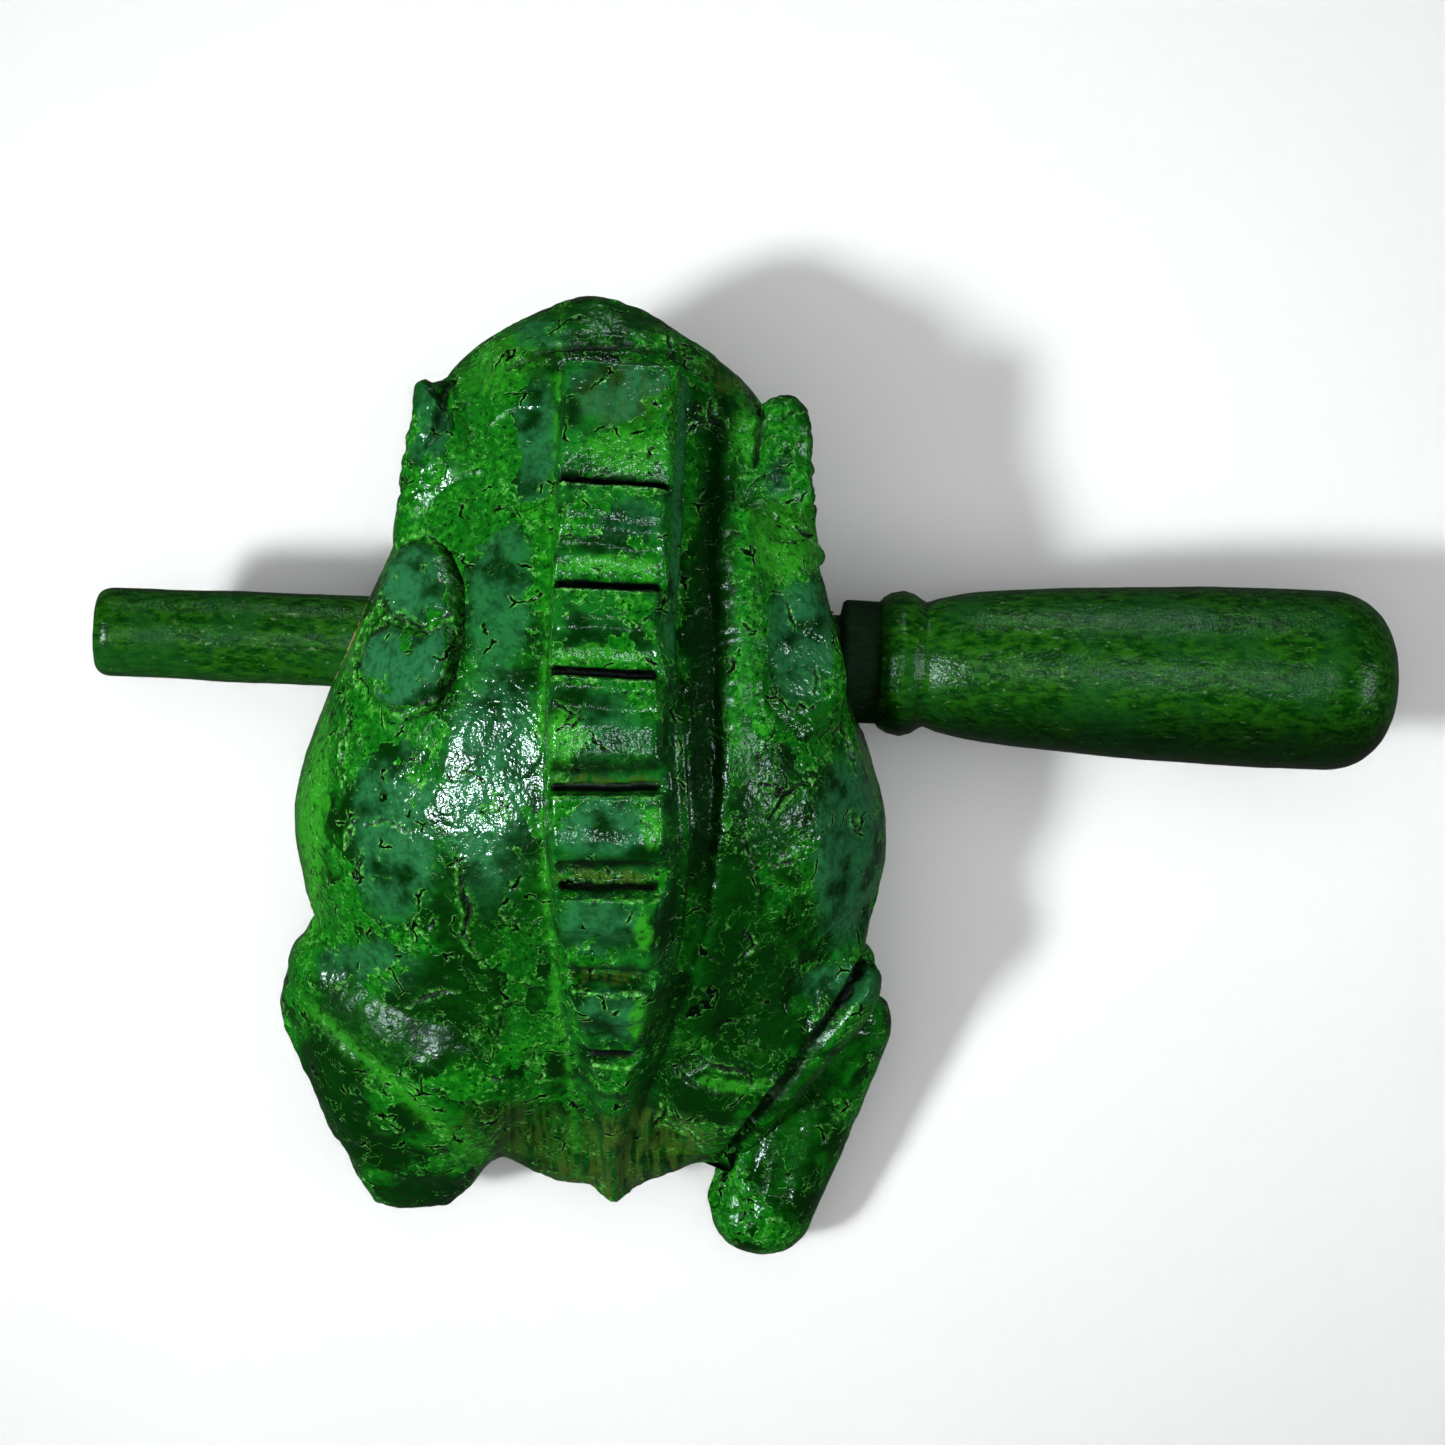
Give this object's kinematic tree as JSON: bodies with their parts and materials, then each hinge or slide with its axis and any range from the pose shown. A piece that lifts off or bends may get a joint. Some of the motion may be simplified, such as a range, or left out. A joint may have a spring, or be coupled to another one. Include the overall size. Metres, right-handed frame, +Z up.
{
  "type": "frog guiro",
  "caption": "Hollow carved wooden frog with a notched crest to scrape, a mouth slot, and a turned wooden stick kept in a hole through its sides.",
  "frame": {"origin": "on the base plane, under the middle of the frog where the axis of the stick hole crosses it", "axes": "+X along the stick towards its handle, +Y to the snout, +Z up"},
  "size_m": [0.1132, 0.0831, 0.042],
  "materials": {
    "crackle_paint": "glossy green paint, crackled",
    "stick_paint": "worn dark green paint with lighter streaks"
  },
  "bodies": {
    "frog": {"frog_body": "crackle_paint"},
    "stick": {"striker_stick": "stick_paint"}
  },
  "joints": [
    {"name": "stick_slide", "type": "slide", "parent": "frog", "child": "stick", "axis": [1, 0, 0], "range_m": [0, 0.068]}
  ]
}
